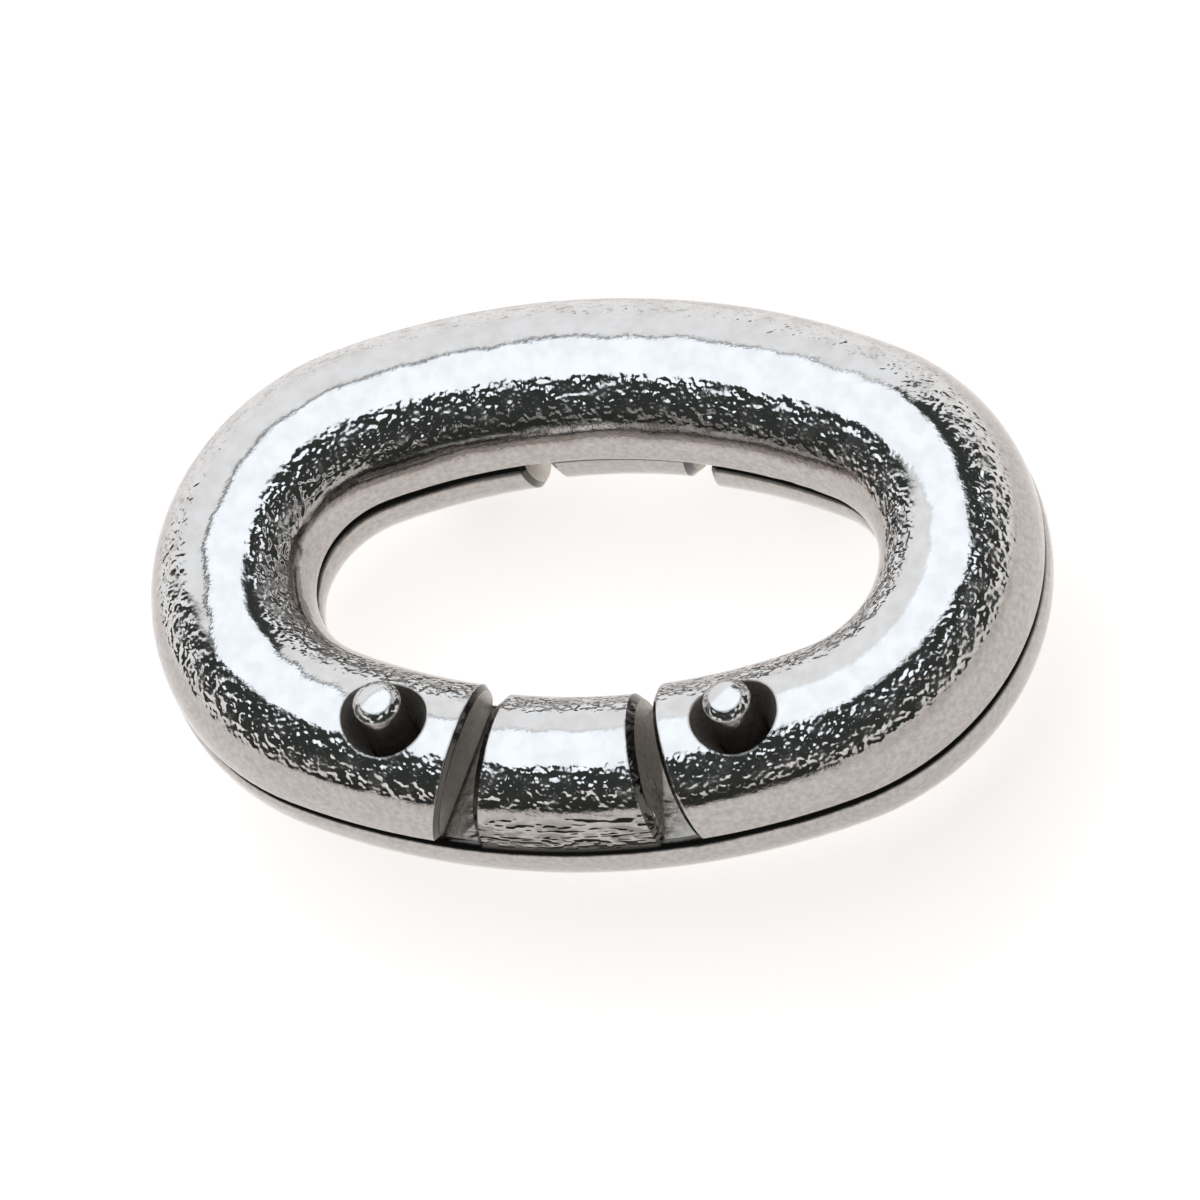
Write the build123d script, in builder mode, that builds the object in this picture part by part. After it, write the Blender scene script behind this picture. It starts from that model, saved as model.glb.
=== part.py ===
from build123d import *
from math import atan2, degrees, sqrt, tan, radians
import os

# Two-part riveted connecting link for chain, in millimetres.
# The link lies in the XY plane with its long axis along X and its parting plane at Z = 0.
# Both halves are the same casting: the upper one is the lower one turned over about X.

# Opening that the chain sits in
opening_length = 42.6
opening_width = 19.9
seat_radius = 7.2

# Bar of one half: a round crest, a short straight flank and a rounded parting edge
bar_width = 12.2
flank_straight = 0.3
edge_round = 1.0

# Gap in one long side, and the block that fills the other half's gap.
# Widths are at the parting plane: both open outwards by a flare and close towards the crest by a lean.
gap_width = 17.2
gap_flare = 13.7
gap_lean = 9.5
groove_width = 2.3
block_flare = 9.0
block_lean = 5.0
block_inset = 0.5
end_chamfer = 0.4
block_chamfer = 0.5

# Rivet pins and their countersunk holes, at the same pitch on both long sides
pin_pitch = 26.4
pin_diameter = 3.6
pin_proud = 2.8
pin_bevel = 0.55
pin_crown_radius = 4.0
pin_clearance = 0.08
sink_diameter = 6.6
sink_angle = 40.0
hole_chamfer = 0.4

# Bar section, measured from its own centre line
bar_half = bar_width / 2
flank_height = edge_round + flank_straight
half_height = bar_half + flank_height

# Four-arc oval of the bar's centre line: a small arc at each end, a large one along each side
centre_reach = opening_length / 2 + bar_half
centre_breadth = opening_width / 2 + bar_half
end_radius = seat_radius + bar_half
end_centre = centre_reach - end_radius
side_rise = centre_breadth - end_radius
side_radius = (end_centre**2 + centre_breadth**2 - end_radius**2) / (2 * side_rise)
side_centre = centre_breadth - side_radius
side_turn = degrees(atan2(end_centre, -side_centre))
end_turn = 90 - side_turn
outer_breadth = centre_breadth + bar_half

# Places of the pins and holes on the centre line of the long sides
pin_x = pin_pitch / 2
pin_y = side_centre + sqrt(side_radius**2 - pin_x**2)
pin_length = half_height + pin_proud
hole_diameter = pin_diameter + 2 * pin_clearance


def bar_section(plane):
    """Half of the bar's section below the parting plane, as a face on the given plane."""
    with BuildSketch(plane) as section:
        with BuildLine():
            Line((edge_round - bar_half, 0), (bar_half - edge_round, 0))
            RadiusArc((bar_half - edge_round, 0), (bar_half, -edge_round), edge_round)
            Line((bar_half, -edge_round), (bar_half, -flank_height))
            ThreePointArc((bar_half, -flank_height), (0, -half_height), (-bar_half, -flank_height))
            Line((-bar_half, -flank_height), (-bar_half, -edge_round))
            RadiusArc((-bar_half, -edge_round), (edge_round - bar_half, 0), edge_round)
        make_face()
    return section.sketch


def bar_ring():
    """Closed oval of the lower bar: one quarter revolved arc by arc, then mirrored twice."""
    with BuildPart(mode=Mode.PRIVATE) as ring:
        add(bar_section(Plane((centre_reach, 0, 0), x_dir=(1, 0, 0), z_dir=(0, -1, 0))))
        revolve(axis=Axis((end_centre, 0, 0), (0, 0, 1)), revolution_arc=end_turn)
        add(bar_section(Plane((0, centre_breadth, 0), x_dir=(0, 1, 0), z_dir=(1, 0, 0))))
        revolve(axis=Axis((0, side_centre, 0), (0, 0, -1)), revolution_arc=side_turn)
        mirror(about=Plane.YZ)
        mirror(about=Plane.XZ)
    return ring.part


def keystone(width, flare, lean, bottom, top):
    """Wedge across the far side of the bar, opening outwards by its flare and closing upwards by its lean."""
    with BuildPart(mode=Mode.PRIVATE) as wedge:
        with Locations((0, centre_breadth, bottom)):
            Box(2 * width, 2 * bar_width, top - bottom, align=(Align.CENTER, Align.CENTER, Align.MIN))
        for side in (-1, 1):
            slope = (side, -tan(radians(flare)), tan(radians(lean)))
            split(bisect_by=Plane((side * width / 2, centre_breadth, 0), z_dir=slope), keep=Keep.BOTTOM)
    return wedge.part


def end_faces(faces):
    """The flat faces that stand across the bar, apart from those along the parting plane."""
    return faces.filter_by(GeomType.PLANE).filter_by(lambda face: abs(face.normal_at().Z) < 0.5)


def filling_block():
    """Block on the far side that rises from the lower bar and stands in for the cut-out upper bar."""
    block_half = bar_half - block_inset
    block_height = half_height - block_inset
    with BuildPart(mode=Mode.PRIVATE) as block:
        with BuildSketch(Plane((0, centre_breadth, 0), x_dir=(0, 1, 0), z_dir=(1, 0, 0))):
            with BuildLine():
                Line((-block_half, -flank_height), (block_half, -flank_height))
                Line((block_half, -flank_height), (block_half, flank_height))
                ThreePointArc((block_half, flank_height), (0, block_height), (-block_half, flank_height))
                Line((-block_half, flank_height), (-block_half, -flank_height))
            make_face()
        revolve(axis=Axis((0, side_centre, 0), (0, 0, -1)), revolution_arc=side_turn)
        mirror(about=Plane.YZ)
        width = gap_width - 2 * groove_width
        add(keystone(width, block_flare, block_lean, -half_height, half_height), mode=Mode.INTERSECT)
        rims = end_faces(block.faces()).edges()
        chamfer(rims.filter_by(lambda edge: edge.center().Z > -flank_height + 0.01), block_chamfer)
    return block.part


def rivet_pin():
    """Upright pin with a bevelled and slightly crowned tip, standing on the parting plane."""
    pin_radius = pin_diameter / 2
    rim_radius = pin_radius - pin_bevel
    rim = pin_length - pin_crown_radius + sqrt(pin_crown_radius**2 - rim_radius**2)
    with BuildPart(mode=Mode.PRIVATE) as pin:
        with BuildSketch(Plane.XZ):
            with BuildLine():
                Polyline((0, pin_length), (0, 0), (pin_radius, 0), (pin_radius, rim - pin_bevel))
                Line((pin_radius, rim - pin_bevel), (rim_radius, rim))
                RadiusArc((rim_radius, rim), (0, pin_length), -pin_crown_radius)
            make_face()
        revolve(axis=Axis.Z)
    return pin.part


def make_half():
    """Lower casting: gap and holes on the far side, block and pins on the near side."""
    with BuildPart() as half:
        add(bar_ring())

        # Rivet holes on the far side, countersunk from the crest
        for side in (-1, 1):
            with Locations(Plane((side * pin_x, pin_y, -half_height), z_dir=(0, 0, -1))):
                CounterSinkHole(
                    hole_diameter / 2,
                    sink_diameter / 2,
                    counter_sink_angle=sink_angle,
                )
        mouths = half.edges().filter_by(GeomType.CIRCLE).group_by(Axis.Z)[-1]
        chamfer(mouths.filter_by(lambda edge: edge.radius < hole_diameter), hole_chamfer)

        # Gap with bevelled bar ends
        add(keystone(gap_width, gap_flare, -gap_lean, -2 * half_height, half_height), mode=Mode.SUBTRACT)
        chamfer(end_faces(half.faces()).edges(), end_chamfer)

        # Block and pins on the near side
        add(filling_block().rotate(Axis.Z, 180))
        with Locations((-pin_x, -pin_y, 0), (pin_x, -pin_y, 0)):
            add(rivet_pin())
    return half.part


os.makedirs("parts", exist_ok=True)

# Lower half
with BuildPart() as lower_half:
    add(make_half())
lower_half.part.label = "lower_half"
export_step(lower_half.part, "parts/lower_half.step")

# Upper half, the same casting turned over about the long axis
with BuildPart() as upper_half:
    add(make_half().rotate(Axis.X, 180))
upper_half.part.label = "upper_half"
export_step(upper_half.part, "parts/upper_half.step")

print("link length", round(2 * (centre_reach + bar_half), 2))
print("link width", round(2 * outer_breadth, 2))
print("bar height", round(2 * half_height, 2))
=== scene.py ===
import math

import bmesh
import bpy
from mathutils import Matrix, Vector


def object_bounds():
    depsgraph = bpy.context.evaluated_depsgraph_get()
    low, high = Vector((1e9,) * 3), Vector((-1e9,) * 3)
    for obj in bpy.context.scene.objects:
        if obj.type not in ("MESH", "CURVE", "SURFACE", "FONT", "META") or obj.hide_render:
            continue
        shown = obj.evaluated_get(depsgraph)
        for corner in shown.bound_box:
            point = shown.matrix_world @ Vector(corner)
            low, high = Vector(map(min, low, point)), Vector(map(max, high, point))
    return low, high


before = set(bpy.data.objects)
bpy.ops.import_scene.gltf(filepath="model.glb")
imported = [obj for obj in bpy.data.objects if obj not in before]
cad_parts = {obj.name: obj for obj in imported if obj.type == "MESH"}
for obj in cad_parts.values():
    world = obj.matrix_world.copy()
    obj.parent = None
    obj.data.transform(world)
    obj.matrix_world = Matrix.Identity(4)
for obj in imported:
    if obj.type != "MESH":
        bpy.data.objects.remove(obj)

CAD_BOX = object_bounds()

bl_info = {
    "name": "Riveted connecting link",
    "version": (1, 0, 0),
    "blender": (4, 5, 0),
    "location": "3D View > Sidebar > Connecting Link",
    "description": "Finishes a two-part riveted chain connecting link and sets it in a plain studio",
    "category": "Object",
}

MM = 0.001
HALVES = ("lower_half", "upper_half")

# Axis of the rivet hole in the first quarter, and the reach of its countersink round the axis
HOLE = (13.2 * MM, 14.306 * MM, 0.0)
HOLE_REACH = 3.5 * MM

# Along the link, the bar ends and the block lie nearer to the middle than this, and the pins don't
NEAR_GAP = 11.2 * MM

# The foot of a block lies outside one distance across the link, and fades out along and up between two
FOOT_OUTSIDE = 17.0 * MM
FOOT_FULL_LENGTH = 6.5 * MM
FOOT_END = 9.0 * MM
FOOT_FULL_HEIGHT = 2.8 * MM
FOOT_TOP = 4.2 * MM

# The pits fade out towards the seam between these two heights
PITS_END = 0.9 * MM
PITS_FULL = 1.6 * MM

# A flat face this near to the parting plane is a parting face
PARTING_FACE = 0.05 * MM


def linear(code):
    """An sRGB hex code such as "#C9C7C4" as linear red, green, blue and alpha."""
    values = [int(code[i : i + 2], 16) / 255 for i in (1, 3, 5)]
    return [v / 12.92 if v <= 0.04045 else ((v + 0.055) / 1.055) ** 2.4 for v in values] + [1.0]


def add_node(tree, kind, settings=None, sockets=None, links=None):
    """Adds a node, sets its options and unlinked sockets, and links sockets to outputs of other nodes."""
    node = tree.nodes.new(kind)
    for name, value in (settings or {}).items():
        setattr(node, name, value)
    for name, value in (sockets or {}).items():
        node.inputs[name].default_value = value
    for name, output in (links or {}).items():
        tree.links.new(output, node.inputs[name])
    return node


def new_material(name):
    """An empty node material and its tree."""
    material = bpy.data.materials.new(name)
    material.use_nodes = True
    material.node_tree.nodes.clear()
    return material, material.node_tree


class LinkFinish(bpy.types.PropertyGroup):
    """Colours and surface detail of the polished casting."""

    steel_light: bpy.props.FloatVectorProperty(
        name="Bright steel", description="Colour of the fully polished steel",
        subtype="COLOR", size=4, min=0, max=1, default=linear("#D2D1D0"))
    steel_dull: bpy.props.FloatVectorProperty(
        name="Dull steel", description="Colour where the polish is thinner",
        subtype="COLOR", size=4, min=0, max=1, default=linear("#CAC8C6"))
    # Painted shade: the darker colour of the flanks stands in for their dimmer reflections
    flank_shade_steel: bpy.props.FloatVectorProperty(
        name="Flank steel", description="Colour of the flanks, which are tumbled but not polished by hand",
        subtype="COLOR", size=4, min=0, max=1, default=linear("#BBB6B3"))
    cast_skin: bpy.props.FloatVectorProperty(
        name="Cast skin", description="Colour of the faces that the polishing wheel can't reach",
        subtype="COLOR", size=4, min=0, max=1, default=linear("#D8D2CA"))
    # Scale colour: random mottling, and painted shade in the ripples' hollows at the block's foot
    scale_and_shade: bpy.props.FloatVectorProperty(
        name="Cast scale", description="Colour of the dark scale that stays in hollows of the cast skin",
        subtype="COLOR", size=4, min=0, max=1, default=linear("#8B8680"))
    # Painted shade in the seam, with some polishing compound there, and a painted dark reflection on the
    # bevels
    seam_shade_colour: bpy.props.FloatVectorProperty(
        name="Seam colour", description="Colour of the polishing compound left in the seam",
        subtype="COLOR", size=4, min=0, max=1, default=linear("#565350"))
    seam_width: bpy.props.FloatProperty(
        name="Seam width", description="Width of the dark line on each side of the parting plane",
        unit="LENGTH", subtype="DISTANCE", default=0.52 * MM)
    edge_round: bpy.props.FloatProperty(
        name="Edge rounding", description="Radius that polishing gives the sharp edges, in the shading only",
        unit="LENGTH", subtype="DISTANCE", default=0.3 * MM)
    polish_roughness: bpy.props.FloatProperty(
        name="Polish roughness", description="Roughness of the fully polished steel",
        subtype="FACTOR", min=0, max=1, default=0.08)
    shoulder_shine: bpy.props.FloatProperty(
        name="Shoulder shine", description="Roughness of the brightest patches on the shoulders",
        subtype="FACTOR", min=0, max=1, default=0.1)
    shoulder_haze: bpy.props.FloatProperty(
        name="Shoulder haze", description="Roughness of the dullest patches on the shoulders",
        subtype="FACTOR", min=0, max=1, default=0.3)
    skin_roughness: bpy.props.FloatProperty(
        name="Cast skin roughness", description="Roughness of the cast skin",
        subtype="FACTOR", min=0, max=1, default=0.45)
    skin_depth: bpy.props.FloatProperty(
        name="Cast skin depth", description="Height of the sandy grain on the cast skin",
        unit="LENGTH", subtype="DISTANCE", default=0.05 * MM)
    peel_size: bpy.props.FloatProperty(
        name="Orange peel size", description="Width of the small waves that the mould leaves",
        unit="LENGTH", subtype="DISTANCE", default=0.45 * MM)
    peel_depth: bpy.props.FloatProperty(
        name="Orange peel depth", description="Height of the small waves",
        unit="LENGTH", subtype="DISTANCE", default=0.012 * MM)
    wave_size: bpy.props.FloatProperty(
        name="Hand polish size", description="Width of the slow waves that hand polishing leaves",
        unit="LENGTH", subtype="DISTANCE", default=3.5 * MM)
    wave_depth: bpy.props.FloatProperty(
        name="Hand polish depth", description="Height of the slow waves",
        unit="LENGTH", subtype="DISTANCE", default=0.12 * MM)
    patch_size: bpy.props.FloatProperty(
        name="Dull patch size", description="Width of the patches where the polish is thinner",
        unit="LENGTH", subtype="DISTANCE", default=1.5 * MM)
    pit_size: bpy.props.FloatProperty(
        name="Pit size", description="Spacing of the pits and bumps that stay on the shoulders of the bar",
        unit="LENGTH", subtype="DISTANCE", default=0.68 * MM)
    pit_depth: bpy.props.FloatProperty(
        name="Pit depth", description="Height of the pits and bumps on the shoulders",
        unit="LENGTH", subtype="DISTANCE", default=0.33 * MM)
    ripple_size: bpy.props.FloatProperty(
        name="Ripple size", description="Width of the ripples at the foot of the block",
        unit="LENGTH", subtype="DISTANCE", default=0.7 * MM)
    ripple_depth: bpy.props.FloatProperty(
        name="Ripple depth", description="Height of the ripples at the foot of the block",
        unit="LENGTH", subtype="DISTANCE", default=0.9 * MM)


class LinkStudio(bpy.types.PropertyGroup):
    """Floor, light and camera around the link."""

    floor_colour: bpy.props.FloatVectorProperty(
        name="Floor", description="Colour of the opal floor when it isn't lit from below",
        subtype="COLOR", size=4, min=0, max=1, default=linear("#DAD6D3"))
    floor_reach: bpy.props.FloatProperty(
        name="Floor reach", description="Distance from the middle of the floor to its edges",
        unit="LENGTH", subtype="DISTANCE", default=3.0)
    glow_colour: bpy.props.FloatVectorProperty(
        name="Floor glow colour", description="Colour of the light that comes up through the floor",
        subtype="COLOR", size=4, min=0, max=1, default=linear("#FFFCFA"))
    floor_glow: bpy.props.FloatProperty(
        name="Floor glow", description="Light that the opal floor gives off by itself",
        min=0, soft_max=1, default=0.74)
    backdrop_colour: bpy.props.FloatVectorProperty(
        name="Backdrop", description="Colour seen behind the floor",
        subtype="COLOR", size=4, min=0, max=1, default=linear("#FFFFFF"))
    wall_colour: bpy.props.FloatVectorProperty(
        name="Pale wall", description="Light that comes back from the wall behind the link",
        subtype="COLOR", size=4, min=0, max=1, default=linear("#FAFCFF"))
    screen_colour: bpy.props.FloatVectorProperty(
        name="Low screen", description="Light that comes back from the low screen round the link",
        subtype="COLOR", size=4, min=0, max=1, default=linear("#E2E0DE"))
    room_colour: bpy.props.FloatVectorProperty(
        name="Dim room", description="Light from the unlit room in front of the link",
        subtype="COLOR", size=4, min=0, max=1, default=linear("#343735"))
    room_light: bpy.props.FloatProperty(
        name="Room light", description="Strength of the light from the wall, the screen and the room",
        min=0, soft_max=2, default=1.2)
    softbox_colour: bpy.props.FloatVectorProperty(
        name="Softbox", description="Colour of the softbox",
        subtype="COLOR", size=3, min=0, max=1, default=linear("#F0F7FF")[:3])
    softbox_height: bpy.props.FloatProperty(
        name="Softbox height", description="Height of the softbox above the link",
        unit="LENGTH", subtype="DISTANCE", default=0.5)
    softbox_turn: bpy.props.FloatProperty(
        name="Softbox turn", description="Turn of the softbox about the upright",
        unit="ROTATION", subtype="ANGLE", default=math.radians(47.0))
    softbox_power: bpy.props.FloatProperty(
        name="Softbox power", description="Power of the softbox", unit="POWER", default=1.5)
    camera_turn: bpy.props.FloatProperty(
        name="Camera turn", description="Turn of the camera round the link",
        unit="ROTATION", subtype="ANGLE", default=math.radians(30.0))
    camera_height: bpy.props.FloatProperty(
        name="Camera height", description="Angle of the camera above the horizon",
        unit="ROTATION", subtype="ANGLE", default=math.radians(59.55))
    camera_roll: bpy.props.FloatProperty(
        name="Camera roll", description="Turn of the picture about the line of sight",
        unit="ROTATION", subtype="ANGLE", default=math.radians(26.9))
    camera_distance: bpy.props.FloatProperty(
        name="Camera distance", description="Distance of the camera from the link",
        unit="LENGTH", subtype="DISTANCE", default=0.3)
    frame_width: bpy.props.FloatProperty(
        name="Frame width", description="Width that the picture takes in",
        unit="LENGTH", subtype="DISTANCE", default=87.6 * MM)
    frame_right: bpy.props.FloatProperty(
        name="Frame right", description="How far right of the link's centre the picture's middle is",
        unit="LENGTH", subtype="DISTANCE", default=-0.168 * MM)
    frame_up: bpy.props.FloatProperty(
        name="Frame up", description="How far above the link's centre the picture's middle is",
        unit="LENGTH", subtype="DISTANCE", default=-1.084 * MM)


def polished_cast_steel(finish):
    """Investment-cast 316 stainless steel, tumbled and then polished by hand on the wheel.

    The eye gets a bright neutral metal that mirrors the softbox as a clean band along the crest.
    On the shoulders the mould's pits are still there under the polish and break dark reflections
    into flecks. The pits are drawn coarser and deeper than on the real casting, so that they show.
    The flanks get a darker colour, painted shade for their dimmer reflections, mottled with scale.
    The block's foot is rippled, and painted shade darkens the hollows of the ripples. A dark colour
    in the seam is painted shade with some polishing compound, and on the bevels round the bar ends
    it is a painted dark reflection. The parting faces, the bar ends and the hole walls keep matt cast skin.
    """
    material, tree = new_material("polished_cast_stainless")
    coords = add_node(tree, "ShaderNodeTexCoord").outputs
    place = coords["Object"]
    facing = coords["Normal"]

    # The link is alike in all its quarters, so the masks read its places and facings without their signs
    away = add_node(
        tree, "ShaderNodeVectorMath", {"operation": "ABSOLUTE"}, links={0: place}).outputs["Vector"]
    square = add_node(
        tree, "ShaderNodeVectorMath", {"operation": "ABSOLUTE"}, links={0: facing}).outputs["Vector"]
    where = add_node(tree, "ShaderNodeSeparateXYZ", links={0: away}).outputs
    lean = add_node(tree, "ShaderNodeSeparateXYZ", links={0: square}).outputs
    shoulder = shoulder_mask(tree, where, lean)
    foot = block_foot_mask(tree, place, where)
    rim_shade = rim_shade_mask(tree, where, lean)
    skin = cast_skin_mask(tree, place, facing, away, where, lean)

    # Patterns
    peel = add_node(
        tree, "ShaderNodeTexNoise",
        sockets={"Scale": 1 / finish.peel_size, "Detail": 2.0, "Roughness": 0.6},
        links={"Vector": place})
    wave = add_node(
        tree, "ShaderNodeTexNoise",
        sockets={"Scale": 1 / finish.wave_size, "Detail": 1.0, "Roughness": 0.5},
        links={"Vector": place})
    patch = add_node(
        tree, "ShaderNodeTexNoise",
        sockets={"Scale": 1 / finish.patch_size, "Detail": 2.0, "Roughness": 0.5},
        links={"Vector": place})
    pits = add_node(
        tree, "ShaderNodeTexNoise",
        sockets={"Scale": 1 / finish.pit_size, "Detail": 1.0, "Roughness": 0.6},
        links={"Vector": place})
    stretched = add_node(
        tree, "ShaderNodeMapping", sockets={"Scale": (0.45, 1.0, 1.0)}, links={"Vector": place})
    ripple = add_node(
        tree, "ShaderNodeTexNoise",
        sockets={"Scale": 1 / finish.ripple_size, "Detail": 1.0, "Roughness": 0.5},
        links={"Vector": stretched.outputs["Vector"]})

    # Relief: rounded edges, slow waves, orange peel, sandy skin, ripples and pits
    rounded = add_node(tree, "ShaderNodeBevel", {"samples": 4}, {"Radius": finish.edge_round})
    slow = add_node(
        tree, "ShaderNodeBump",
        sockets={"Strength": 1.0, "Distance": finish.wave_depth},
        links={"Height": wave.outputs["Fac"], "Normal": rounded.outputs["Normal"]})
    fine = add_node(
        tree, "ShaderNodeBump",
        sockets={"Strength": 1.0, "Distance": finish.peel_depth},
        links={"Height": peel.outputs["Fac"], "Normal": slow.outputs["Normal"]})
    sandy = add_node(
        tree, "ShaderNodeBump",
        sockets={"Distance": finish.skin_depth},
        links={"Strength": skin, "Height": peel.outputs["Fac"], "Normal": fine.outputs["Normal"]})
    rippled = add_node(
        tree, "ShaderNodeBump",
        sockets={"Distance": finish.ripple_depth},
        links={"Strength": foot, "Height": ripple.outputs["Fac"], "Normal": sandy.outputs["Normal"]})
    pitted = add_node(
        tree, "ShaderNodeBump",
        sockets={"Distance": finish.pit_depth},
        links={"Strength": shoulder, "Height": pits.outputs["Fac"], "Normal": rippled.outputs["Normal"]})

    # Steel on the crest and shoulders; on the flanks a darker colour, painted shade, mottled with scale
    dull = add_node(
        tree, "ShaderNodeMapRange",
        sockets={"From Min": 0.35, "From Max": 0.65},
        links={"Value": patch.outputs["Fac"]})
    bright = add_node(
        tree, "ShaderNodeMix", {"data_type": "RGBA"},
        {6: finish.steel_light, 7: finish.steel_dull}, {0: dull.outputs["Result"]})
    mottle = add_node(
        tree, "ShaderNodeMapRange",
        sockets={"From Min": 0.35, "From Max": 0.75, "To Max": 0.5},
        links={"Value": peel.outputs["Fac"]})
    shaded_flank = add_node(
        tree, "ShaderNodeMix", {"data_type": "RGBA"},
        {6: finish.flank_shade_steel, 7: finish.scale_and_shade}, {0: mottle.outputs["Result"]})
    # Painted shade: the colour turns darker where the surface turns sideways
    flank = add_node(
        tree, "ShaderNodeMapRange", {"interpolation_type": "SMOOTHSTEP"},
        {"From Min": 0.72, "From Max": 0.56}, {"Value": lean["Z"]})
    steel = add_node(
        tree, "ShaderNodeMix", {"data_type": "RGBA"},
        links={0: flank.outputs["Result"], 6: bright.outputs[2], 7: shaded_flank.outputs[2]})

    # Painted shade: a darker colour in the hollows of the ripples at the block's foot
    hollow_shade = add_node(
        tree, "ShaderNodeMapRange", {"interpolation_type": "SMOOTHSTEP"},
        {"From Min": 0.56, "From Max": 0.44}, {"Value": ripple.outputs["Fac"]})
    scale = add_node(
        tree, "ShaderNodeMath", {"operation": "MULTIPLY"}, links={0: foot, 1: hollow_shade.outputs["Result"]})
    hollow_shaded = add_node(
        tree, "ShaderNodeMix", {"data_type": "RGBA"},
        {7: finish.scale_and_shade}, {0: scale.outputs[0], 6: steel.outputs[2]})

    # Painted shade along the seam, where some polishing compound also stays, and a painted dark reflection
    # on the bevels
    seam = add_node(
        tree, "ShaderNodeMapRange", {"interpolation_type": "SMOOTHSTEP"},
        {"From Min": finish.seam_width, "From Max": 0.55 * finish.seam_width}, {"Value": where["Z"]})
    line = add_node(
        tree, "ShaderNodeMath", {"operation": "MAXIMUM"}, links={0: seam.outputs["Result"], 1: rim_shade})
    shade_lined = add_node(
        tree, "ShaderNodeMix", {"data_type": "RGBA"},
        {7: finish.seam_shade_colour}, {0: line.outputs[0], 6: hollow_shaded.outputs[2]})

    # Cast skin over the rest
    sand = add_node(
        tree, "ShaderNodeMapRange",
        sockets={"From Min": 0.3, "From Max": 0.8, "To Max": 0.5},
        links={"Value": peel.outputs["Fac"]})
    cast = add_node(
        tree, "ShaderNodeMix", {"data_type": "RGBA"},
        {6: finish.cast_skin, 7: finish.scale_and_shade}, {0: sand.outputs["Result"]})
    colour = add_node(
        tree, "ShaderNodeMix", {"data_type": "RGBA"},
        links={0: skin, 6: shade_lined.outputs[2], 7: cast.outputs[2]})

    # Roughness: even on the crest and flanks, patchy on the shoulders, matt on the skin
    haze = add_node(
        tree, "ShaderNodeMapRange", {"interpolation_type": "SMOOTHSTEP"},
        {
            "From Min": 0.38,
            "From Max": 0.68,
            "To Min": finish.shoulder_shine,
            "To Max": finish.shoulder_haze,
        },
        {"Value": patch.outputs["Fac"]})
    polish = add_node(
        tree, "ShaderNodeMix", {"data_type": "FLOAT"},
        {2: finish.polish_roughness}, {0: shoulder, 3: haze.outputs["Result"]})
    rough = add_node(
        tree, "ShaderNodeMix", {"data_type": "FLOAT"},
        {3: finish.skin_roughness}, {0: skin, 2: polish.outputs[0]})
    shader = add_node(
        tree, "ShaderNodeBsdfPrincipled",
        sockets={"Metallic": 1.0},
        links={
            "Base Color": colour.outputs[2],
            "Roughness": rough.outputs[0],
            "Normal": pitted.outputs["Normal"],
        })
    add_node(tree, "ShaderNodeOutputMaterial", links={"Surface": shader.outputs["BSDF"]})
    return material


def shoulder_mask(tree, where, lean):
    """One on the shoulders of the bar, between the crest and the flanks and away from the seam."""
    off_crest = add_node(
        tree, "ShaderNodeMapRange", {"interpolation_type": "SMOOTHSTEP"},
        {"From Min": 0.96, "From Max": 0.86}, {"Value": lean["Z"]})
    off_flank = add_node(
        tree, "ShaderNodeMapRange", {"interpolation_type": "SMOOTHSTEP"},
        {"From Min": 0.54, "From Max": 0.66}, {"Value": lean["Z"]})
    off_seam = add_node(
        tree, "ShaderNodeMapRange", {"interpolation_type": "SMOOTHSTEP"},
        {"From Min": PITS_END, "From Max": PITS_FULL}, {"Value": where["Z"]})
    slanted = add_node(
        tree, "ShaderNodeMath", {"operation": "MULTIPLY"},
        links={0: off_crest.outputs[0], 1: off_flank.outputs[0]})
    shoulder = add_node(
        tree, "ShaderNodeMath", {"operation": "MULTIPLY"},
        links={0: slanted.outputs[0], 1: off_seam.outputs[0]})
    return shoulder.outputs[0]


def block_foot_mask(tree, place, where):
    """One on the lower flank of each block, where the bar ends keep the polishing wheel away; it places the
    ripples and the painted shade in their hollows.
    """
    between = add_node(
        tree, "ShaderNodeMapRange", {"interpolation_type": "SMOOTHSTEP"},
        {"From Min": FOOT_END, "From Max": FOOT_FULL_LENGTH}, {"Value": where["X"]})
    low = add_node(
        tree, "ShaderNodeMapRange", {"interpolation_type": "SMOOTHSTEP"},
        {"From Min": FOOT_TOP, "From Max": FOOT_FULL_HEIGHT}, {"Value": where["Z"]})
    outside = add_node(
        tree, "ShaderNodeMath", {"operation": "GREATER_THAN"}, {1: FOOT_OUTSIDE}, {0: where["Y"]})

    # A block stands above the plane on the near side and below it on the far side
    own = add_node(tree, "ShaderNodeSeparateXYZ", links={0: place})
    turn = add_node(
        tree, "ShaderNodeMath", {"operation": "MULTIPLY"}, links={0: own.outputs["Y"], 1: own.outputs["Z"]})
    block_side = add_node(
        tree, "ShaderNodeMath", {"operation": "LESS_THAN"}, {1: 0.0}, {0: turn.outputs[0]})
    flank = add_node(
        tree, "ShaderNodeMath", {"operation": "MULTIPLY"},
        links={0: between.outputs[0], 1: low.outputs[0]})
    face = add_node(
        tree, "ShaderNodeMath", {"operation": "MULTIPLY"},
        links={0: outside.outputs[0], 1: block_side.outputs[0]})
    foot = add_node(
        tree, "ShaderNodeMath", {"operation": "MULTIPLY"},
        links={0: flank.outputs[0], 1: face.outputs[0]})
    return foot.outputs[0]


def rim_shade_mask(tree, where, lean):
    """One on the bevels round the bar ends and the block, which get a dark colour as a painted dark
    reflection.
    """
    near_gap = add_node(
        tree, "ShaderNodeMath", {"operation": "LESS_THAN"}, {1: NEAR_GAP}, {0: where["X"]})
    bevel = add_node(
        tree, "ShaderNodeMath", {"operation": "COMPARE"}, {1: 0.66, 2: 0.2}, {0: lean["X"]})
    rim_shade = add_node(
        tree, "ShaderNodeMath", {"operation": "MULTIPLY"},
        links={0: near_gap.outputs[0], 1: bevel.outputs[0]})
    return rim_shade.outputs[0]


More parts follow.
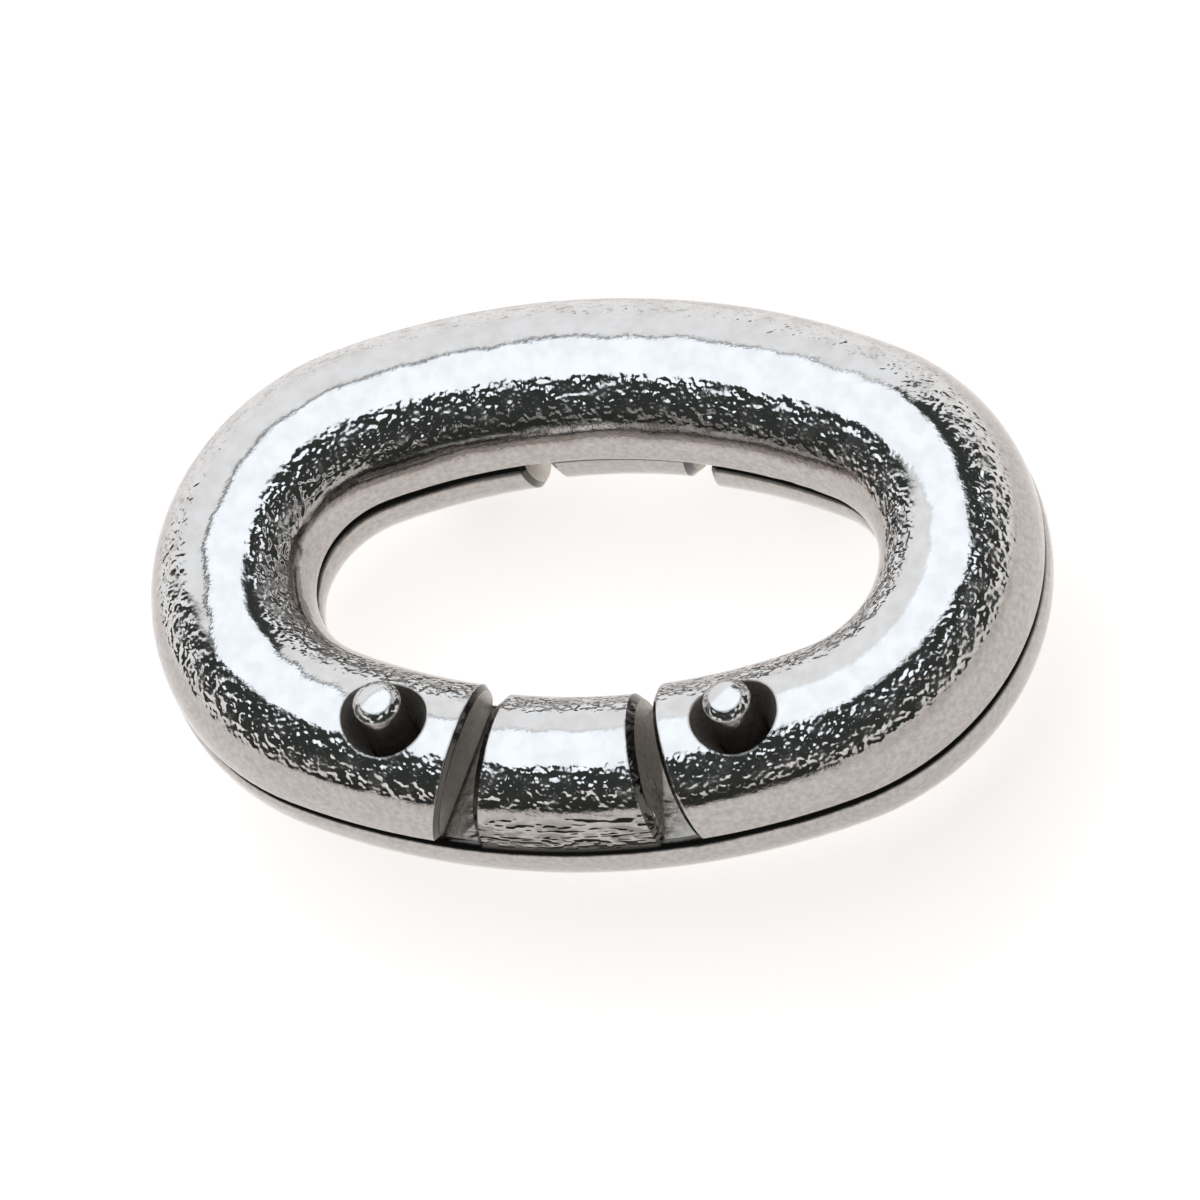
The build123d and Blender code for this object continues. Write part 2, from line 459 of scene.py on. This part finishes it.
def cast_skin_mask(tree, place, facing, away, where, lean):
    """One on the faces that stay as cast, nought on the polished ones.

    These are the faces across the bar near the gap, the flat parting faces and the hole walls.
    """

    # Faces across the bar and parting faces
    near_gap = add_node(
        tree, "ShaderNodeMath", {"operation": "LESS_THAN"}, {1: NEAR_GAP}, {0: where["X"]})
    end_face = add_node(
        tree, "ShaderNodeMath", {"operation": "GREATER_THAN"}, {1: 0.88}, {0: lean["X"]})
    ends = add_node(
        tree, "ShaderNodeMath", {"operation": "MULTIPLY"},
        links={0: near_gap.outputs[0], 1: end_face.outputs[0]})
    level = add_node(
        tree, "ShaderNodeMath", {"operation": "LESS_THAN"}, {1: PARTING_FACE}, {0: where["Z"]})
    flat = add_node(
        tree, "ShaderNodeMath", {"operation": "GREATER_THAN"}, {1: 0.99}, {0: lean["Z"]})
    parting = add_node(
        tree, "ShaderNodeMath", {"operation": "MULTIPLY"},
        links={0: level.outputs[0], 1: flat.outputs[0]})

    # A hole wall faces the hole's axis: place and facing are turned into the first quarter for this
    sign = add_node(tree, "ShaderNodeVectorMath", {"operation": "SIGN"}, links={0: place})
    turned = add_node(
        tree, "ShaderNodeVectorMath", {"operation": "MULTIPLY"},
        links={0: facing, 1: sign.outputs["Vector"]})
    offset = add_node(
        tree, "ShaderNodeVectorMath", {"operation": "SUBTRACT"}, {1: HOLE}, {0: away})
    spoke = add_node(
        tree, "ShaderNodeVectorMath", {"operation": "MULTIPLY"},
        {1: (1.0, 1.0, 0.0)}, {0: offset.outputs["Vector"]})
    reach = add_node(
        tree, "ShaderNodeVectorMath", {"operation": "LENGTH"}, links={0: spoke.outputs["Vector"]})
    ray = add_node(
        tree, "ShaderNodeVectorMath", {"operation": "NORMALIZE"}, links={0: spoke.outputs["Vector"]})
    outward = add_node(
        tree, "ShaderNodeVectorMath", {"operation": "DOT_PRODUCT"},
        links={0: ray.outputs["Vector"], 1: turned.outputs["Vector"]})
    close = add_node(
        tree, "ShaderNodeMath", {"operation": "LESS_THAN"}, {1: HOLE_REACH}, {0: reach.outputs["Value"]})
    wall = add_node(
        tree, "ShaderNodeMath", {"operation": "LESS_THAN"}, {1: -0.3}, {0: outward.outputs["Value"]})
    hole = add_node(
        tree, "ShaderNodeMath", {"operation": "MULTIPLY"},
        links={0: close.outputs[0], 1: wall.outputs[0]})
    faces = add_node(
        tree, "ShaderNodeMath", {"operation": "MAXIMUM"},
        links={0: ends.outputs[0], 1: parting.outputs[0]})
    skin = add_node(
        tree, "ShaderNodeMath", {"operation": "MAXIMUM"},
        links={0: faces.outputs[0], 1: hole.outputs[0]})
    return skin.outputs[0]


def opal_floor(colour, glow_colour, glow):
    """Opal acrylic light table: an even pale ground that glows a little, so that shadows stay faint."""
    material, tree = new_material("opal_light_table")
    shader = add_node(
        tree, "ShaderNodeBsdfPrincipled",
        sockets={
            "Base Color": colour,
            "Roughness": 0.9,
            "Specular IOR Level": 0.1,
            "Emission Color": glow_colour,
            "Emission Strength": glow,
        })
    add_node(tree, "ShaderNodeOutputMaterial", links={"Surface": shader.outputs["BSDF"]})
    return material


class LINK_OT_halves(bpy.types.Operator):
    """Gives both castings their polished steel"""

    bl_idname = "link.halves"
    bl_label = "Polish the two halves"

    def execute(self, context):
        steel = polished_cast_steel(context.scene.link_finish)
        for name in HALVES:
            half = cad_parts[name]
            for slot in half.material_slots:
                slot.material = steel
        return {"FINISHED"}


class LINK_OT_studio(bpy.types.Operator):
    """Sets the floor, the softbox, the surrounding light and the camera"""

    bl_idname = "link.studio"
    bl_label = "Set the studio"

    def execute(self, context):
        studio = context.scene.link_studio
        self.lay_floor(context, studio)
        self.hang_softbox(context, studio)
        self.light_room(context, studio)
        self.place_camera(context, studio)
        return {"FINISHED"}

    def lay_floor(self, context, studio):
        """Opal floor under the lowest pin end."""
        mesh = bpy.data.meshes.new("studio_floor")
        grid = bmesh.new()
        bmesh.ops.create_grid(grid, x_segments=1, y_segments=1, size=studio.floor_reach)
        bmesh.ops.translate(grid, verts=grid.verts, vec=(0, 0, CAD_BOX[0].z))
        grid.to_mesh(mesh)
        grid.free()
        mesh.materials.append(opal_floor(studio.floor_colour, studio.glow_colour, studio.floor_glow))
        floor = bpy.data.objects.new("studio_floor", mesh)
        context.collection.objects.link(floor)

    def hang_softbox(self, context, studio):
        """Wide softbox above the link, a little behind it and to the left, that the camera doesn't see."""
        height = studio.softbox_height
        data = bpy.data.lights.new("softbox", "AREA")
        data.shape = "RECTANGLE"
        data.size = 1.25 * height
        data.size_y = 0.95 * height
        data.energy = studio.softbox_power
        data.color = studio.softbox_colour
        softbox = bpy.data.objects.new("softbox", data)
        softbox.location = (-0.16 * height, 0.29 * height, height)
        softbox.rotation_euler.z = studio.softbox_turn
        softbox.visible_camera = False
        context.collection.objects.link(softbox)

    def light_room(self, context, studio):
        """Pale wall behind, low screen all round, dim room above, and a plain backdrop to the eye."""
        world = bpy.data.worlds.new("room")
        world.use_nodes = True
        tree = world.node_tree
        tree.nodes.clear()
        way = add_node(tree, "ShaderNodeTexCoord").outputs["Generated"]
        level = add_node(
            tree, "ShaderNodeVectorMath", {"operation": "MULTIPLY"}, {1: (1.0, 1.0, 0.0)}, {0: way})
        compass = add_node(
            tree, "ShaderNodeVectorMath", {"operation": "NORMALIZE"}, links={0: level.outputs["Vector"]})

        # The wall stands behind the link, and ends where the link sees the softbox's back edge
        wall_way = (-0.454, 0.891, 0.0)
        edge_plane = (-0.731, 0.682, -0.83)
        behind = add_node(
            tree, "ShaderNodeVectorMath", {"operation": "DOT_PRODUCT"},
            {1: wall_way}, {0: compass.outputs["Vector"]})
        below_softbox = add_node(
            tree, "ShaderNodeVectorMath", {"operation": "DOT_PRODUCT"}, {1: edge_plane}, {0: way})
        wide = add_node(
            tree, "ShaderNodeMapRange", {"interpolation_type": "SMOOTHSTEP"},
            {"From Min": 0.62, "From Max": 0.77}, {"Value": behind.outputs["Value"]})
        high = add_node(
            tree, "ShaderNodeMapRange", {"interpolation_type": "SMOOTHSTEP"},
            {"From Min": 0.0, "From Max": 0.03}, {"Value": below_softbox.outputs["Value"]})
        wall = add_node(
            tree, "ShaderNodeMath", {"operation": "MULTIPLY"},
            links={0: wide.outputs[0], 1: high.outputs[0]})

        # The screen's top edge is at the horizon at the left, and rises towards the right
        right = add_node(tree, "ShaderNodeSeparateXYZ", links={0: compass.outputs["Vector"]})
        top = add_node(
            tree, "ShaderNodeMapRange", {"interpolation_type": "SMOOTHSTEP"},
            {"From Min": 0.2, "From Max": 0.5, "To Min": 0.0, "To Max": 0.26},
            {"Value": right.outputs["X"]})
        rise = add_node(tree, "ShaderNodeSeparateXYZ", links={0: way})
        over = add_node(
            tree, "ShaderNodeMath", {"operation": "SUBTRACT"},
            links={0: rise.outputs["Z"], 1: top.outputs[0]})
        screen = add_node(
            tree, "ShaderNodeMapRange", {"interpolation_type": "SMOOTHSTEP"},
            {"From Min": 0.05, "From Max": -0.03}, {"Value": over.outputs[0]})
        low = add_node(
            tree, "ShaderNodeMix", {"data_type": "RGBA"},
            {6: studio.room_colour, 7: studio.screen_colour}, {0: screen.outputs[0]})
        around = add_node(
            tree, "ShaderNodeMix", {"data_type": "RGBA"},
            {7: studio.wall_colour}, {0: wall.outputs[0], 6: low.outputs[2]})
        glow = add_node(
            tree, "ShaderNodeBackground",
            sockets={"Strength": studio.room_light}, links={"Color": around.outputs[2]})

        # The eye sees plain paper behind the floor
        paper = add_node(tree, "ShaderNodeBackground", sockets={"Color": studio.backdrop_colour})
        ray = add_node(tree, "ShaderNodeLightPath").outputs["Is Camera Ray"]
        seen = add_node(
            tree, "ShaderNodeMixShader", links={0: ray, 1: glow.outputs[0], 2: paper.outputs[0]})
        add_node(tree, "ShaderNodeOutputWorld", links={"Surface": seen.outputs[0]})
        context.scene.world = world
        context.scene.view_settings.view_transform = "Standard"

    def place_camera(self, context, studio):
        """Camera without perspective at the photograph's angle and framing."""
        turn, height, roll = studio.camera_turn, studio.camera_height, studio.camera_roll
        level = Vector((math.cos(turn), math.sin(turn), 0))
        ahead = Vector((-math.sin(turn), math.cos(turn), 0))
        back = math.sin(height) * Vector((0, 0, 1)) - math.cos(height) * ahead
        rise = back.cross(level)
        right = math.cos(roll) * level - math.sin(roll) * rise
        up = math.sin(roll) * level + math.cos(roll) * rise
        aim = right * studio.frame_right + up * studio.frame_up
        data = bpy.data.cameras.new("camera")
        data.type = "ORTHO"
        data.ortho_scale = studio.frame_width
        data.clip_start = 0.001
        data.clip_end = 10.0
        camera = bpy.data.objects.new("camera", data)
        pose = Matrix((right, up, back)).transposed().to_4x4()
        pose.translation = aim + back * studio.camera_distance
        camera.matrix_world = pose
        context.collection.objects.link(camera)
        context.scene.camera = camera


class LINK_PT_panel(bpy.types.Panel):
    """Lists the steps that dress the link"""

    bl_idname = "LINK_PT_panel"
    bl_label = "Connecting Link"
    bl_space_type = "VIEW_3D"
    bl_region_type = "UI"
    bl_category = "Connecting Link"

    def draw(self, context):
        layout = self.layout
        for operator in OPERATORS:
            layout.operator(operator.bl_idname)
        for group in (context.scene.link_finish, context.scene.link_studio):
            box = layout.box()
            for name in group.__annotations__:
                box.prop(group, name)


GROUPS = (LinkFinish, LinkStudio)
OPERATORS = (LINK_OT_halves, LINK_OT_studio)
CLASSES = GROUPS + OPERATORS + (LINK_PT_panel,)


def register():
    """Adds the classes, and the sizes and colours of the scene."""
    for item in CLASSES:
        bpy.utils.register_class(item)
    bpy.types.Scene.link_finish = bpy.props.PointerProperty(type=LinkFinish)
    bpy.types.Scene.link_studio = bpy.props.PointerProperty(type=LinkStudio)


def unregister():
    """Takes away what register adds."""
    del bpy.types.Scene.link_studio
    del bpy.types.Scene.link_finish
    for item in reversed(CLASSES):
        bpy.utils.unregister_class(item)


def main():
    """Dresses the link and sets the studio."""
    register()
    bpy.ops.link.halves()
    bpy.ops.link.studio()


if __name__ == "__main__":
    main()
